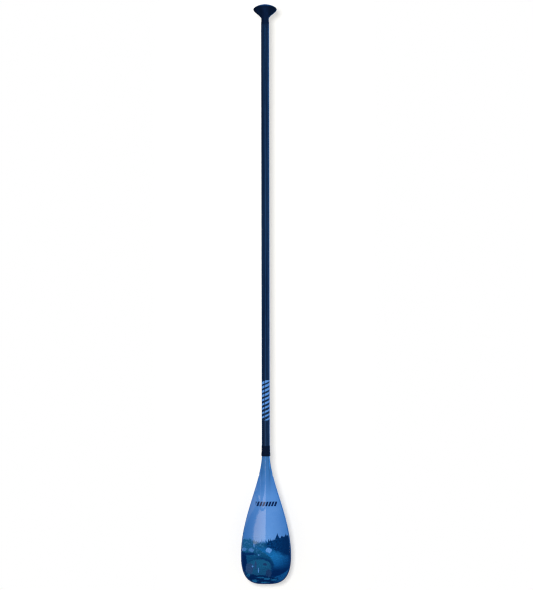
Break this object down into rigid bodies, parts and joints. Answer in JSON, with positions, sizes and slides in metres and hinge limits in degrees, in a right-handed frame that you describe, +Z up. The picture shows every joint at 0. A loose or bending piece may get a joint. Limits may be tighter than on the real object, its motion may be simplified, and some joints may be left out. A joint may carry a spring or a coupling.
{
  "type": "single blade paddle",
  "caption": "Fixed-length stand-up paddle with a flared palm grip, a straight tubular shaft and a teardrop blade bent forward, foam-cored with a bonded edge rail.",
  "frame": {"origin": "on the shaft's axis under the flare of the palm grip, 48 mm below the top, where a forked rack carries the paddle", "axes": "+Z up along the shaft to the grip; -Y is the side that the blade's power face looks to, and the tip leans to +Y; +X to the right seen from the power face"},
  "size_m": [0.182, 0.0895, 2.0955],
  "materials": {
    "grip_plastic": "moulded matt black nylon with a fine spark-eroded grain",
    "shaft_laminate": "satin clear-coated composite tube with unidirectional fibres",
    "sleeve_polymer": "shrunk polyolefin, matt with faint draw lines",
    "blade_print": "printed landscape under a gloss clear coat",
    "blade_lacquer": "plain pigmented laminate under a gloss clear coat",
    "rail_plastic": "extruded edge strip, sanded flush and lacquered",
    "inner_laminate": "bare cured laminate",
    "foam": "closed-cell foam, machined",
    "glue": "set hot-melt glue",
    "wrap_fibre": "resin-wet glass roving"
  },
  "bodies": {
    "root": {"grip_front_shell": "grip_plastic", "grip_back_shell": "grip_plastic", "grip_core": "foam", "grip_spigot": "inner_laminate", "grip_glue_sleeve": "glue", "upper_bung": "foam", "shaft_tube": "shaft_laminate", "lower_bung": "foam", "blade_glue_sleeve": "glue", "blade_spigot": "inner_laminate", "spigot_plug": "foam", "joint_wrap": "wrap_fibre", "shrink_sleeve": "sleeve_polymer", "power_face_skin": "blade_print", "back_face_skin": "blade_lacquer", "centre_spar": "inner_laminate", "core_left": "foam", "core_right": "foam", "edge_rail": "rail_plastic"}
  },
  "joints": []
}
